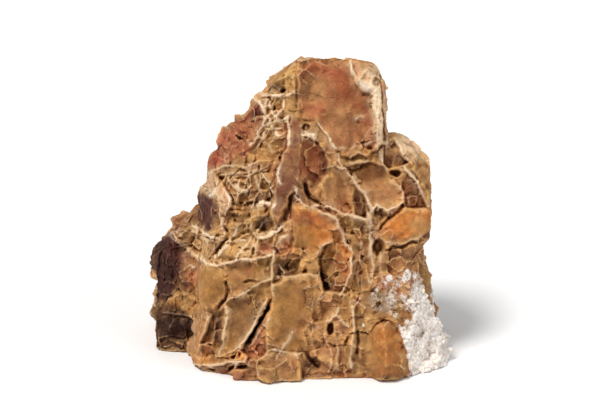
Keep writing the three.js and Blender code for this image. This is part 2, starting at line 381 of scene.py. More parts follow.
# %% Plates of the front
PLATES = [
    # upper left: crag, strip beside the crown, red facet
    ("straw", -0.3, 0.2, 0, 0, [(-26, 163), (-22, 172), (-9, 181), (-3, 184), (-3, 150), (-10, 134),
     (-14, 125), (-36, 126), (-28, 140), (-21, 152)]),
    ("olive", -0.4, -1, 1, -1, [(-24, 170), (-14, 175), (-9, 176), (-9, 168), (-14, 165), (-20, 165),
     (-25, 165)]),
    ("straw", 0.4, -1, 0, 0.6, [(-10, 178), (-4, 181), (-2, 168), (-4, 151), (-10, 150), (-9, 160),
     (-11, 170)]),
    ("red", 0.6, 0.1, -0.1, 0, [(-64, 124), (-62, 143), (-48, 155), (-32, 166), (-21, 162, 0.7),
     (-22, 151, 0.7), (-27, 142, 0.6), (-31, 136), (-38, 131), (-44, 126), (-51, 122)]),
    # centre left: ledge, boxwork, red block
    ("ochre", -2.5, 0.5, 0.4, 0, [(-50, 119), (-22, 123), (-17, 112), (-17, 97), (-30, 95), (-40, 92),
     (-47, 96), (-42, 105), (-46, 112)]),
    ("tan", 1.2, 0, 1, 0, [(-52, 122, 0.5), (-44, 125, 0.4), (-34, 124, 0.5), (-26, 128), (-18, 127),
     (-21, 122, 0.7), (-30, 121, 0.5), (-40, 120, 0.6), (-50, 118.5)]),
    ("pink", 0.5, 0.5, 0, 0, [(-61, 120, 0.6), (-52, 121.5), (-46, 112, 0.9), (-42, 105, 0.9), (-46, 96),
     (-49.5, 100), (-50, 108), (-63, 109)]),
    ("maroon", -1.5, -0.6, 0.8, 0, [(-64, 108), (-50, 108, 0.5), (-49, 100, 0.4), (-49, 91), (-55, 87),
     (-66, 89)]),
    ("straw", 0, 0.15, 0.6, 0, [(-78, 86), (-66, 90), (-55, 86), (-40, 92), (-28, 95), (-12, 90),
     (-18, 80), (-20, 72, 0.8), (-28, 70, 0.9), (-40, 70, 0.9), (-51, 67, 0.9), (-61, 70, 0.9),
     (-70, 76, 0.8)]),
    ("tan", -1.5, 1, 0.8, 0, [(-66, 86, 0.7), (-56, 82, 0.7), (-48, 84), (-52, 76), (-58, 70),
     (-68, 76)]),
    ("straw", -0.8, -0.8, -1, 0, [(-42, 83), (-32, 89), (-27, 81, 0.5), (-28, 73), (-38, 72),
     (-50, 74, 0.8)]),
    ("red", -1.5, 0.8, 0.6, 0, [(-26, 82, 0.8), (-18, 84), (-17, 73), (-26, 72)]),
    ("maroon", -1.8, 0, 0.6, 0, [(-30, 93), (-20, 99), (-16, 91), (-22, 85), (-29, 88)]),
    ("straw", 0.6, 0, 0.6, 0, [(-31, 101), (-24, 100.5), (-21, 96), (-30, 92)]),
    ("brown", -2.5, 0, 0.8, 0, [(-45, 99), (-32, 97), (-35, 92), (-45, 92.5)]),
    # flank: maroon stain, with umber over it as painted shadow, most on the underside
    ("maroon", -0.3, 0.4, 0.3, 0, [(-94, 76), (-80, 86), (-69, 78), (-63, 69), (-69, 60), (-66, 54),
     (-72, 48), (-90, 40), (-96, 60)]),
    ("umber", -0.6, 0.2, 0, 0, [(-96, 80), (-82, 82), (-78, 66), (-80, 50), (-83, 42), (-96, 42)]),
    ("umber", -1.5, 0, 0.6, 0, [(-96, 35), (-74, 34), (-67, 33), (-68, 10), (-96, 10)]),
    ("ochre", 2.5, 0.4, -1, 1, [(-85, 38), (-80, 46), (-72, 50), (-64, 47), (-60, 40), (-64, 34, 0.7),
     (-74, 36, 0.7)]),
    # middle: brown facet, olive plate, recess painted umber as shade, hexagon
    ("rust", -0.2, -1.2, 0.6, -1.2, [(-1, 142), (8, 140), (16, 129), (14, 119), (8, 111), (2, 116),
     (-4, 127)]),
    ("tan", 0.8, -1, 0.8, -1.5, [(14, 129), (22, 123), (28, 119), (31, 112), (29, 100), (24, 97),
     (10, 101), (5, 106), (8, 112), (14, 120)]),
    ("ochre", 0.8, 0, -1, 0, [(17, 137), (22, 131), (46, 140), (47, 124), (38, 127, 0.6),
     (26, 124.5, 0.9), (21, 122, 0.6), (20, 131)]),
    ("tan", -0.6, 0.5, -1.2, -2.5, [(24, 124.5), (38, 127), (46, 124), (52, 117, 0.4), (58, 110, 0.5),
     (57.5, 103, 0.6), (49, 97, 0.6), (42, 101, 0.8), (40, 99, 0.7), (35, 109, 0.7), (30, 117, 0.7)]),
    ("umber", -4.5, 0.6, 0.6, 0, [(29, 114), (34, 108), (39, 98), (36, 94), (30, 97), (28, 105)]),
    ("tan", 1.6, 0, 0.5, 0, [(1, 148), (8, 150.5, 0.95), (20, 132.5, 0.5), (22, 122), (14, 129),
     (8, 139, 0.6), (1, 142, 0.9)]),
    # shoulder
    ("tan", -3, 0.5, 1, 0, [(50, 121), (58, 122), (66, 115), (74, 104), (73, 100), (60, 99), (58, 104),
     (58, 110), (54, 115)]),
    ("brown", -3.2, 0, 1.5, 0, [(47, 140), (56, 140, 0.8), (57.5, 131, 0.8), (61, 126), (50, 122, 0.9),
     (46, 126, 0.7)]),
    ("tan", 0, -1, 0, 1, [(61, 126), (59, 131), (66, 134), (73, 130), (78, 116), (76, 103), (70, 113)]),
    ("straw", 1.6, -0.6, 0, 0, [(58, 124.5), (62, 126), (70, 114), (76, 104), (73, 101, 1), (66, 114, 1),
     (59, 122, 1)]),
    ("cream", 1.6, 0, 0.5, 2, [(49, 146), (58, 148), (66, 145), (74, 137), (73, 129), (67, 126),
     (61, 127, 0.8), (57, 132, 0.9), (54, 139)]),
    ("orange", 1.2, 0.2, 0.6, 1.5, [(60, 100), (76, 99), (78, 90), (70, 84, 0.5), (60, 79.5, 0.4),
     (52, 80.5, 0.4), (46, 81), (44, 88), (50, 96), (57, 100)]),
    ("tan", -1, 0, 0.6, 0, [(44, 80), (52, 79), (60, 78), (68, 83), (76, 80), (70, 68), (60, 66),
     (50, 62), (41, 60), (41, 70)]),
    ("brown", -1.5, 0, -1, 0, [(41, 99), (49, 97), (43, 87), (40, 88)]),
    # right of the middle: olive, fins and columns down to the dome
    ("olive", -0.5, 1, 1.2, 0, [(13, 100.5, 0.85), (26, 97, 0.85), (37, 94), (39, 84), (37, 80), (28, 82),
     (23, 87), (20, 96)]),
    ("ochre", -0.8, -0.5, 0, 0, [(24, 86), (38, 82), (40, 70), (40, 58), (34, 48), (22, 50), (27, 60),
     (28, 72)]),
    ("ochre", -2.2, 1.5, 0, 0, [(31, 70), (36, 68), (39, 56), (34, 48), (27, 50), (29, 60)]),
    ("olive", -0.8, 0.6, 0, 0, [(29, 44), (38, 42), (40, 24), (38, 4), (29, 3)]),
    ("ochre", 0.4, 0.8, 0, 0, [(20, 46), (28, 52), (29.5, 44, 0.6), (29, 30, 0.5), (28, 6), (24, 6),
     (22, 18), (26, 30, 0.6), (20, 37)]),
    ("olive", -0.5, 0, 0, 0, [(34, 52), (46, 54), (57, 44), (56, 34), (48, 36), (40, 34), (34, 38)]),
    ("amber", -1.2, 0, -0.6, 7.5, [(38.5, 27), (42, 33), (46, 36), (50, 35), (54, 31), (57, 24), (59, 15),
     (59.5, 6), (58, -3), (41, -3), (38, 5), (36.5, 13), (37, 21)]),
    # orange plate and funnel, with the recess under the plate painted umber as shade
    ("rust", 0.8, 1, 0.4, 0, [(-14, 91), (-7, 93), (-5, 84), (-6, 74), (-14, 72), (-17, 72, 0.6),
     (-15.5, 80, 0.6), (-10, 85)]),
    ("orange", 3, -0.4, 0.6, -1.6, [(-6, 101), (0, 102), (9, 98.5, 0.8), (19, 95, 0.7), (21, 88, 0.7),
     (24, 80, 0.6), (29, 73), (24, 71), (20, 74), (16, 80, 0.6), (10, 77, 0.6), (7, 71), (0, 71),
     (-6, 74), (-6, 84)]),
    ("amber", -2.8, 2, 0.5, 0, [(8, 72), (11, 77, 0.5), (16, 80), (20, 75), (24, 72), (28, 72, 0.7),
     (27.5, 62, 0.7), (21, 50, 0.6), (12, 50), (10, 58)]),
    ("straw", 1, 0.5, 0.8, 0, [(-2, 70.5), (6, 71), (9, 66), (7, 61), (-5, 61.5)]),
    ("umber", -4.5, 0, 1, 0, [(-16, 70), (-2, 70), (-4, 62), (-9, 60, 0.5), (-15, 61)]),
    # lower left
    ("ochre", 0.8, 0, -1, -1.2, [(-46, 68, 0.8), (-38, 70.5, 0.8), (-28, 70.5, 0.8), (-18, 73), (-18, 60),
     (-27, 55), (-36, 50), (-45, 45), (-44, 56)]),
    ("ochre", 2.6, -0.3, -0.3, 3, [(-62, 66), (-52, 67), (-46, 62), (-44, 55), (-46, 46), (-52, 40),
     (-58, 42), (-63, 48), (-65, 58)]),
    ("brown", -2.8, 1, 0, 0, [(-56, 39), (-45, 42), (-45, 28), (-48, 16), (-54, 19), (-61, 21)]),
    ("tan", 0.8, 0.8, 0, 0, [(-70, 16), (-64, 32), (-61, 39), (-54, 38.5, 0.5), (-57, 28, 0.4), (-61, 20),
     (-58, 12), (-66, 8)]),
    ("rust", -1, 1.5, 0, 0, [(-21, 44), (-20, 22), (-22, 12), (-34, 12), (-37, 18)]),
    ("ochre", 1.8, 0.2, -0.4, -2.4, [(-45.5, 45, 0.5), (-36, 50, 0.5), (-27, 55, 0.5), (-19, 59),
     (-18, 50), (-21.5, 46, 0.6), (-28, 34, 0.7), (-36, 19, 0.6), (-47, 14), (-46, 30)]),
    ("orange", 2.8, 0, -0.6, 0, [(-69, 7.5, 0.95), (-50, 8, 0.9), (-35, 11, 0.5), (-33, 14), (-38, 18),
     (-48, 15), (-58, 12.5), (-68, 13)]),
    # tall plate, its foot and the fins beside it
    ("tan", -1, 0, 0.6, 0, [(-2, 40), (6, 36), (14, 36), (22, 32), (25, 10), (23, 1), (-2, 1)]),
    ("ochre", 2.2, -0.5, 0.4, 1.8, [(-18.5, 56), (-14, 57), (-9, 60.5, 0.4), (2, 62, 0.4), (9, 61, 0.3),
     (10, 51, 0.4), (5, 44), (6, 37), (1, 27), (2, 16), (-1, 1), (-14, -2), (-24, 2), (-22, 12),
     (-21, 36), (-19, 46)]),
    ("tan", 1, 0, 0.5, 0, [(9, 62), (12, 51), (21, 51), (21, 46), (12, 48.5, 0.4), (5, 44)]),
    ("tan", -1.4, 0.8, 1, 0, [(5, 44.5), (12, 48.5), (20.5, 44, 0.7), (19, 37, 0.7), (13, 34), (5, 34)]),
    ("tan", 3.2, 0, -0.6, 2.2, [(-28, 12, 0.3), (-19, 18, 0.6), (-10, 16, 0.5), (-1, 15), (-1, -2),
     (-14, -3), (-26, 1)]),
    # crown, right of it and the long band that runs down from it
    ("pink", -0.5, 0.5, 0, 1, [(27, 184), (34, 184), (44, 181), (47, 176), (43, 169), (38, 169),
     (31, 172)]),
    ("rust", 2.8, 0.1, -0.3, -1.4, [(-3, 185, 0.3), (5, 188), (27, 187, 0.8), (31, 172, 1), (38, 168.5),
     (40.5, 158), (43, 146), (46, 139), (44, 135), (39, 133), (36, 130, 0.4), (31, 132, 0.4), (27, 129.5),
     (22, 131), (17, 138), (6, 151), (-3, 151)]),
    ("cream", 3.2, -1, 0, 0.6, [(39, 169.5, 0.9), (44.5, 170.5), (45.5, 158), (46.5, 138), (43.5, 137, 1),
     (42.5, 148, 1), (40.5, 158, 1)]),
    ("white", 3, 0, -1, 0.8, [(29.5, 175, 1), (31.5, 171), (35, 168), (39, 166.5), (42.5, 168.5),
     (42, 172.5), (38, 172), (35, 174.5), (32, 177)]),
    ("keel", 3.4, 0, 0, 0.8, [(-8.5, 153), (0, 152), (0, 141), (-3, 127), (-4, 113), (-8, 108), (-13, 96),
     (-17, 88), (-19, 96), (-17, 110), (-13.5, 124, 0.2), (-9.5, 136, 0.9), (-9, 150)]),
]
REACH = 4           # how far past its edge a plate is felt


def to_plate(corners):
    """The points near a plate, their way in from its edge, and how pale that edge is."""
    corners = [(*corner, 0)[:3] for corner in corners]
    first, last = np.min(corners, 0)[:2] - REACH, np.max(corners, 0)[:2] + REACH
    near = np.flatnonzero(on_front & np.all((board > first) & (board < last), axis=1))
    x, y = board[near].T
    away, pale, inside = np.full(len(near), 1e3), np.zeros(len(near)), np.zeros(len(near), bool)
    for (x0, y0, strength), (x1, y1, _) in zip(corners, corners[1:] + corners[:1]):
        run, rise = x1 - x0, y1 - y0
        t = np.clip(((x - x0) * run + (y - y0) * rise) / (run * run + rise * rise), 0, 1)
        d = np.hypot(x - x0 - t * run, y - y0 - t * rise)
        pale = np.where(d < away, strength, pale)
        away = np.minimum(away, d)
        if rise:
            inside ^= ((y0 > y) != (y1 > y)) & (x < x0 + (y - y0) * run / rise)
    return near, np.where(inside, away, -away), pale


print(len(PLATES), "plates lie on the front")

# %% [markdown]
# Not every seam is the edge of a plate. The rest cross the plates as free ridges: how pale, the
# half width, how far it stands out and its route, and on some how much higher the stone is on
# the left of the route.

# %% Free seams
SEAMS = [
    (1, 1.4, 1.2, [(39, 170), (41, 175), (46, 178)]),
    (1, 2.2, 0.8, [(42, 168), (43, 158), (44, 148), (45.5, 138)]),
    (0.7, 0.8, 0.9, [(30, 151.5), (33, 153.5), (35, 153)]),
    (0.45, 0.9, 0.8, [(22, 135), (27, 134), (30, 136)]),
    (1, 1.3, 1, [(0, 142.5), (5, 142)]),
    (0.8, 0.8, 1.2, [(34, 136), (39, 138), (43, 139)]),
    (0.8, 0.9, 1, [(42, 137), (44.5, 130), (47, 124.5)]),
    (0.7, 0.8, 1, [(42, 102), (49, 98.5)]),
    (0.7, 1.3, 1.8, [(38, 97), (39, 87), (39, 76), (40, 66), (39, 58)]),
    (0.4, 0.8, 1.4, [(45, 74), (44, 66), (46, 58)]),
    (0.9, 1, 1.8, [(-5, 112), (-4, 107), (0, 102.5), (4, 100.8), (9, 101)], -1),
    (0.4, 0.7, 1.2, [(33, 80), (33, 70), (31, 62), (33, 54)]),
    (0.8, 0.8, 0.4, [(-14, 123), (-14, 115)]),
    (1, 1.1, 1.2, [(-24, 166), (-20, 164.5), (-15, 164), (-11, 165), (-5, 167)]),
    (0.9, 0.8, 1.2, [(-21, 163), (-18, 156), (-16, 153), (-12, 158), (-11, 164)]),
    (0.95, 1.4, 1, [(-14, 151), (-9, 151.5)]),
    (0.7, 0.7, 1, [(-23, 148), (-15, 150)]),
    (0.7, 0.7, 1, [(-26, 142), (-19, 147), (-12, 146)]),
    (0.6, 0.7, 1, [(-27, 137), (-23, 141)]),
    (0.95, 0.9, 1.5, [(-46, 96), (-48, 91), (-46, 86)]),
    (0.9, 0.9, 1.5, [(-60, 117), (-58, 110), (-52, 110), (-49, 116)]),
    (0.6, 0.7, 1.4, [(-45, 119), (-40, 112), (-34, 108)]),
    (0.7, 0.7, 1.4, [(-24, 120), (-20, 115), (-18, 109)]),
    (0.6, 0.7, 1.4, [(-32, 120), (-30, 113), (-36, 110)]),
    (1, 1.5, 1.8, [(-29, 102), (-22, 103), (-18, 101.5)]),
    (0.85, 0.9, 1.6, [(-52, 72), (-46, 77), (-41, 83), (-38, 89)], 1),
    (0.9, 0.9, 1.4, [(-80, 84), (-74, 79), (-68, 74)]),
    (0.9, 0.9, 1.4, [(-66, 90), (-56, 84), (-44, 80), (-34, 82)]),
    (0.8, 0.8, 1.4, [(-40, 70), (-33, 78), (-27, 88), (-22, 94)]),
    (0.8, 0.9, 1.2, [(-26, 162), (-20, 152), (-15, 142)]),
    (0.75, 1.2, 1.4, [(-39.5, 113), (-32.5, 109)]),
    (0.6, 0.8, 1.4, [(-28, 118), (-24, 108)]),
    (0.5, 0.8, 1.4, [(-43, 119), (-47, 108), (-46, 100)]),
    (0.6, 0.8, 1.4, [(-18, 152), (-23, 143), (-29, 134)]),
    (1, 1.2, 1.8, [(-27, 83), (-22, 83.5), (-17, 86), (-12, 89)]),
    (0.4, 1.1, 1.8, [(-17, 72), (-18.5, 60), (-17.5, 50)], -1),
    (0.6, 0.6, 1.2, [(-14, 67), (-11, 62)]),
    (0.5, 0.8, 1.2, [(-20, 36), (-27, 27), (-34, 18)]),
    (0.55, 0.8, 1.6, [(-44, 42), (-45, 32), (-47, 22), (-50, 16)]),
    (0.9, 0.9, 0.8, [(-68, 66), (-64, 65)]),
    (0.8, 0.8, 0.8, [(-76, 86), (-72, 84)]),
    (0.55, 0.8, 0.8, [(-6, 28), (-11, 21), (-16, 13)]),
    (0.6, 0.7, 1.4, [(33, 47), (28, 42)]),
    (0.1, 1.6, 1.6, [(3, 33), (6, 22), (8, 12)], -2.5),
    (0.3, 1, 1.6, [(13, 26), (16, 14), (15, 4)], 2),
    (0.3, 1, 1.4, [(19, 30), (20, 18), (20, 6)], -2),
    (0.35, 0.9, 1.8, [(-56, 37), (-58, 25), (-62, 13)], -1),
    (0.2, 1, 1.6, [(-51, 36), (-52, 26), (-54, 15)], -1),
    (0.3, 0.9, 1.4, [(-64, 34), (-66, 24), (-67, 13)]),
]
print(len(SEAMS), "seams cross the plates")

# %% [markdown]
# Cracks are open lines: half width, depth and points. Hollows are ovals: how deep they go in, a
# centre, two half widths, and on some a turn in degrees.

# %% Cracks and hollows
CRACKS = [
    (0.9, 4, [(45, 176), (45, 160), (46, 150), (46.5, 138)]),
    (1, 4, [(46.5, 138), (46.5, 128)]),
    (0.9, 1.5, [(-4.5, 175), (-3.5, 166), (-4, 156)]),
    (1.5, 3, [(28, 122.5), (33, 124), (38, 125)]),
    (1.3, 5, [(59, 103), (55, 98), (50, 95), (46, 90), (44, 86)]),
    (1, 3, [(50.5, 119), (56, 112)]),
    (1.2, 4, [(46, 75), (52, 78), (58, 77), (63, 80), (67, 81)]),
    (1.5, 7, [(-1, 116), (1, 111), (4, 106), (10, 102.5)]),
    (1.2, 2, [(14, 78), (9, 71), (10, 63), (11, 56)]),
    (1.5, 5, [(-6, 108), (-9, 100), (-12, 92)]),
    (0.8, 1.5, [(-48, 137), (-43, 131)]),
    (0.8, 1.5, [(-29, 144), (-26, 145)]),
    (1.3, 4, [(-47, 90), (-44, 86)]),
    (1.3, 3, [(-43, 97), (-36, 95)]),
    (1.5, 5, [(-22, 107), (-20, 104)]),
    (1.4, 4, [(-24, 97), (-20, 99)]),
    (1.2, 3, [(-42, 103), (-38, 101)]),
    (1, 4, [(-53, 73), (-48, 79), (-44, 82)]),
    (1.2, 3, [(-61, 84), (-54, 81.5)]),
    (1.3, 4, [(-15, 62), (-12, 59)]),
    (1, 2.5, [(-36, 57), (-31, 58.5), (-26, 57)]),
    (1, 2, [(-33, 54), (-29, 53)]),
    (1.3, 4, [(-45, 58), (-44, 53), (-46, 46), (-51, 41)]),
    (1.4, 13, [(-20, 44.5), (-25, 36), (-29, 29), (-33.5, 20.5)]),
    (1.5, 8, [(-43, 12.5), (-40, 13.5), (-36.5, 16.5)]),
    (1.2, 7, [(-68, 4.5), (-60, 4.8), (-52, 5.2)]),
    (1.3, 8, [(-45, 4.5), (-40, 7), (-33, 7.5)]),
    (1.5, 4, [(-66, 49), (-62, 45), (-65, 41)]),
    (1.2, 4, [(31.5, 30), (31.5, 20), (31, 14)]),
    (1.1, 3, [(23.5, 19), (26.5, 26)]),
    (1.4, 4, [(1, 17), (4, 12), (8, 6)]),
]
HOLLOWS = [
    (5, 42.5, 172.5, 2.5, 3.5), (1.5, 36, 166, 2, 1.5), (2.5, 38.5, 135, 2.5, 1.5),
    (7, 53.5, 120, 3.2, 2), (2, 31.5, 104, 2, 7, 14), (3, 45, 99, 1.8, 1.5), (8, 43.5, 77, 3.4, 5.5),
    (2.5, 22.5, 91, 1.8, 6, 20), (2.5, 26, 80, 1.5, 2.5), (1.5, 13, 62, 4, 10, -8), (5, 13, 54, 2.6, 3.2),
    (4, 1.5, 146.5, 2.4, 2), (1.4, 12, 155, 2.6, 1.6), (1, 5, 162, 1.6, 1.2), (1.2, 32, 149.5, 2, 1),
    (4, -12, 168, 2.2, 1.6, 30), (2.5, -17, 158, 1.2, 2, 20), (2, -20, 164, 1.2, 1),
    (3, -25, 137, 1.2, 1.6), (2.5, -35, 121.5, 2.5, 1), (3, -36, 117.5, 3.5, 1.2),
    (3, -26, 123, 0.9, 1.8), (3, -13, 128, 1, 2), (3, -56, 117, 1.8, 2.2), (3, -52.5, 113.5, 1.3, 1.6),
    (2.5, -28.5, 75, 1.6, 2.5), (3, -8, 66, 4, 2.4, 15), (1.8, -21, 65, 2, 5), (6, -73, 24, 9, 6),
    (8, 16.2, 29.5, 2.2, 4.5), (3, 6, 9, 4, 5), (2, 34.5, 72.5, 1.5, 1),
]


def to_line(route):
    """Signed way from each board point to a route, and how far along it that is from an end."""
    route = np.array(route, float)
    lengths = np.linalg.norm(np.diff(route, axis=0), axis=1)
    starts = np.concatenate([[0], np.cumsum(lengths)])
    away = np.full(point_count, 1e3)
    side = np.ones(point_count)
    along = np.zeros(point_count)
    for i, length in enumerate(lengths):
        way = (route[i + 1] - route[i]) / length
        offset = board - route[i]
        t = np.clip(offset @ way, 0, length)
        d = np.linalg.norm(offset - t[:, None] * way, axis=1)
        nearer = d < away
        away[nearer] = d[nearer]
        side[nearer] = np.sign(way[0] * offset[:, 1] - way[1] * offset[:, 0])[nearer]
        along[nearer] = (starts[i] + t)[nearer]
    return away, side, np.minimum(along, starts[-1] - along)


def in_oval(x, y, across, up, turn=0):
    """1 at an oval's centre on the board, falling to 0 on its edge and below 0 outside."""
    a = math.radians(turn)
    dx, dy = board[:, 0] - x, board[:, 1] - y
    u = (dx * math.cos(a) + dy * math.sin(a)) / across
    v = (dy * math.cos(a) - dx * math.sin(a)) / up
    return 1 - np.hypot(u, v)


def in_egg(centre, reach):
    """The same for an egg in the stone itself."""
    return 1 - np.linalg.norm((points - centre) / np.array(reach), axis=1)


print(len(CRACKS), "cracks,", len(HOLLOWS), "hollows")

# %% [markdown]
# Away from the board the stone still has to be this stone, so its other sides get plates, seams,
# cracks and fine boxwork of the same sizes from cells. On the front these wild plates stay low
# and leave the drawing to the plates above.

# %% Wild plates, chips and crumbs
CALM = [(19, 158, 24, 28), (-9, 124, 7, 32, -10), (46, 18, 12, 17), (-9, 36, 12, 26),
        (44, 111, 13, 13), (4, 88, 13, 13), (63, 90, 14, 10), (-31, 60, 14, 9),
        (-38, 32, 9, 16, -15), (-54, 54, 10, 14), (20, 110, 10, 10)]
PLATE, CHIP, CRUMB = 23, 8.5, 4.2       # sizes of the wild pieces
LIFT, TILT = 2.6, 0.26                  # how far a wild plate stands out, and how steeply it leans
SEAMED, CRACKED = 0.62, 0.16            # how many borders are seams, and how many are cracks
CRACK_DEPTH = 6
calm = np.max([ramp(in_oval(*oval), 0.0, 0.3) for oval in CALM], axis=0) * facing
turning = smoothed(facing, 150)         # 1 on the front, 0 off it, half way on its rim
wild = ramp(1 - turning, 0.45, 0.95)
bent = points + drift(points, 16, 21, kind=layered) * 3.2
bent += drift(points, 3, 31) * 0.5
squat = upright(bent, 0.72)
plates = cells(squat, PLATE, 3)
chips = cells(bent, CHIP, 4)
crumbs = cells(bent, CRUMB, 10)


def plate_face(ids, at, where, lift, slope):
    """How high a tilted plate stands at each point, up to the lift and by the slope at most."""
    tilt = np.stack([chance(ids, k) - 0.5 for k in (4, 5, 6)], 1) * 2 * slope
    return (chance(ids, 7) - 0.5) * 2 * lift + np.sum(tilt * (where - at), axis=1)


def on_border(border, half_width):
    return np.clip(1 - border / half_width, 0, 1)


own = plate_face(plates["id"], plates["at"], squat, LIFT, TILT)
other = plate_face(plates["next"], plates["next_at"], squat, LIFT, TILT)
is_seam = chance(plates["pair"], 8) < SEAMED
is_crack = chance(plates["pair"], 8) > 1 - CRACKED
seam_reach = 0.45 + 0.3 * chance(plates["pair"], 9)
seam_high = 0.5 + 0.9 * chance(plates["pair"], 10)
broken = ramp(noise(points, 13, 41), -0.75, -0.2)     # seams come and go along their length
crest = on_border(plates["border"], seam_reach * 2) ** 0.8 * broken
own, other = own * (0.3 + 0.7 * flatness), other * (0.3 + 0.7 * flatness)
relief = own * wild
rise = (np.maximum(own, other) - own) * wild + seam_high * wild
relief += np.where(is_seam, crest * rise, 0)
relief -= np.where(is_crack, CRACK_DEPTH * on_border(plates["border"], 1.6) * broken * wild, 0)
print("wild plates span", np.round(np.percentile(relief, [0, 50, 100]), 1), "mm")

# %% [markdown]
# Smaller breaks follow: tilted chips and crumbs, fewer of them on calm plates, then slow
# undulation, folds that stand up as blunt crests, and creases between those.

# %% Wild relief
BROAD, LUMPY, KNOBBLY = 2.2, 3.6, 2.2       # heights of the undulation, from broad to fine
FOLD, CREASE, CHIP_LINE = 2.0, 0.5, 0.6     # heights of what crests on the plates
rough_share = 1 - 0.75 * calm
rough_share *= 1 - 0.8 * wild * ramp(chance(plates["id"], 25), 0.3, 0.6)      # some plates are smooth
relief += plate_face(chips["id"], chips["at"], bent, lift=0.6, slope=0.24) * rough_share
relief += plate_face(crumbs["id"], crumbs["at"], bent, lift=0.25, slope=0.22) * rough_share
sway = 0.4 + 0.6 * facing
relief += layered(points, 42, 51) * BROAD + layered(points, 16, 52) * LUMPY * sway
relief += layered(upright(bent, 0.7), 8, 55, 2) * KNOBBLY * sway
folds = layered(upright(bent, 0.55), 11, 53)
relief += FOLD * (ramp(1 - 2.0 * np.abs(folds), 0, 1) - 0.45) * (0.5 + 0.5 * rough_share)
creases = layered(bent, 5, 57)
relief += CREASE * (ramp(1 - 2.6 * np.abs(creases), 0, 1) - 0.35) * rough_share
chip_line = on_border(chips["border"], 0.8) * (chance(chips["pair"], 20) < 0.45)
relief += CHIP_LINE * chip_line * rough_share
relief *= 1 - 2.4 * turning * (1 - turning)    # the rim keeps the block's crisp outline
print("wild relief spans", np.round(np.percentile(relief, [0, 50, 100]), 1), "mm")

# %% [markdown]
# A pale seam is not painted on the skin. Each point keeps how far off its nearest seam is, and
# the finish draws the line from that, so it stays sharp however coarse the skin is.

# %% Seams and colours of the wild plates
FAR_OFF = 9
seam_way = np.full(point_count, float(FAR_OFF))
seam_pale = np.zeros(point_count)


def note_seam(way, pale, where=slice(None)):
    """Keep each point's nearest pale seam: its way off in half widths, and how pale it is."""
    nearer = way < seam_way[where]
    seam_way[where] = np.where(nearer, way, seam_way[where])
    seam_pale[where] = np.where(nearer, pale, seam_pale[where])


ragged = 0.8 + 0.35 * noise(points, 6, 43) + 0.3 * noise(points, 2.2, 47)
faded = 0.15 + 0.85 * ramp(layered(points, 8, 45, 2), -0.45, 0.35)
lip = 1 + 1.2 * np.clip(other - own, 0, 3)     # a seam shows on the upper side of its step
note_seam(np.where(is_seam & (broken > 0.3) & (facing < 0.5),
                   plates["border"] * lip / (seam_reach * (0.5 + 0.6 * ragged)), FAR_OFF),
          (0.3 + 0.6 * chance(plates["pair"], 13)) * faded)
WILD_COLOURS = ["tan", "ochre", "straw", "rust", "brown", "olive", "orange", "ochre"]
drawn = chance(plates["id"], 22) * len(WILD_COLOURS)
for k, name in enumerate(WILD_COLOURS):
    mask = (drawn >= k) & (drawn < k + 1)
    lay_colour(name, mask * ramp(plates["border"], -0.5, 1.5) * wild * 0.65)
# a pink tint and a painted highlight on the crests of the folds
lay_colour("pink", ramp(1 - 2 * np.abs(folds), 0.45, 1) * 0.3)
print("wild seams run over", round(float((seam_way < 1).mean()), 3), "of the stone")

# %% [markdown]
# Each plate replaces what is under it, as a shingle does, and takes the paleness of its own edges
# with it. Its face is a tilted plane with a swollen or dished middle and a cleaved grain, its edge
# is a short steep step, and weathering cuts a groove under a plate that stands out.

# %% Lay the plates
EDGE = 0.7          # half the run of the step at a plate's edge
SLOPE = 2.5         # how much steeper than its row a plate leans
GROOVE = 0.4        # how deep weathering cuts under a raised plate
GRAIN = 0.9         # how rough a plate's grain is
BULGE = 1.5         # how much more than its row a plate swells
ROUNDING = 13       # how far in from its edge a plate goes on swelling
SINK = 0.8          # how much lower a plate is inside than at its edge
softness = EDGE + 2.0 * ramp(noise(points, 15, 44), -0.1, 0.6)
broad_patch = noise(points, 13, 48)
blend = 1.6 * noise(points, 5, 46)
front = np.zeros(point_count)


def grain(x, y, z, turn):
    """Splinters and steps that run one way on a plate, as it cleaves."""
    along, across = x * math.cos(turn) + y * math.sin(turn), y * math.cos(turn) - x * math.sin(turn)
    return layered(np.column_stack([along / 3.5, across, z + 40 * turn]), 3.4, 120, 2)


for k, (name, lift, across, up, swell, corners) in enumerate(PLATES):
    near, way_in, pale = to_plate(corners)
    x, y = (board[near] - np.mean([corner[:2] for corner in corners], axis=0)).T
    face = lift + SLOPE * (across * x + up * y) / 10
    face += BULGE * swell * (1 - (1 - np.clip(way_in / ROUNDING, 0, 1)) ** 2)
    splinters = grain(x, y, depth[near], 0.9 + 2.4 * k % math.pi)
    face += GRAIN * splinters
    run = np.where(pale > 0, EDGE, softness[near])
    over = ramp(way_in, -run, run)
    cut = GROOVE * (lift > 0) * np.exp(-((way_in + 1.3) / 0.8) ** 2)
    rim = (0.8 + 0.8 * pale) * np.clip(1 - np.abs(way_in), 0, 1)
    face -= SINK * ramp(way_in, 0, 5)
    front[near] = front[near] * (1 - over) + face * over - cut * (1 - over) + rim * ragged[near]
    seam_way[near[way_in > 0.5]] = FAR_OFF
    on_edge = np.where(pale > 0, np.abs(way_in) / (0.6 + 0.55 * ragged[near]), FAR_OFF)
    note_seam(on_edge, pale * (0.4 + 0.6 * faded[near]), near)
    on_plate = ramp(way_in + blend[near], -1.3, 1.3) * seen[near]
    lay_colour(name, on_plate * 0.9, near)
    patch = ramp(splinters + 0.8 * broad_patch[near], 0.1, 0.5)
    lay_colour(COLOURS[name][3], on_plate * patch * 0.5, near)
    # a straw band just inside each plate's edge: wear and a painted highlight
    wear_and_highlight = ramp(way_in, -0.5, 0.3) * ramp(way_in + 1.4 * blend[near], 3.5, 0.5)
    lay_colour("straw", wear_and_highlight * seen[near] * 0.45, near)
relief += facing * front
print("plates span", np.round(np.percentile(front[on_front], [0, 5, 50, 95, 100]), 1), "mm")

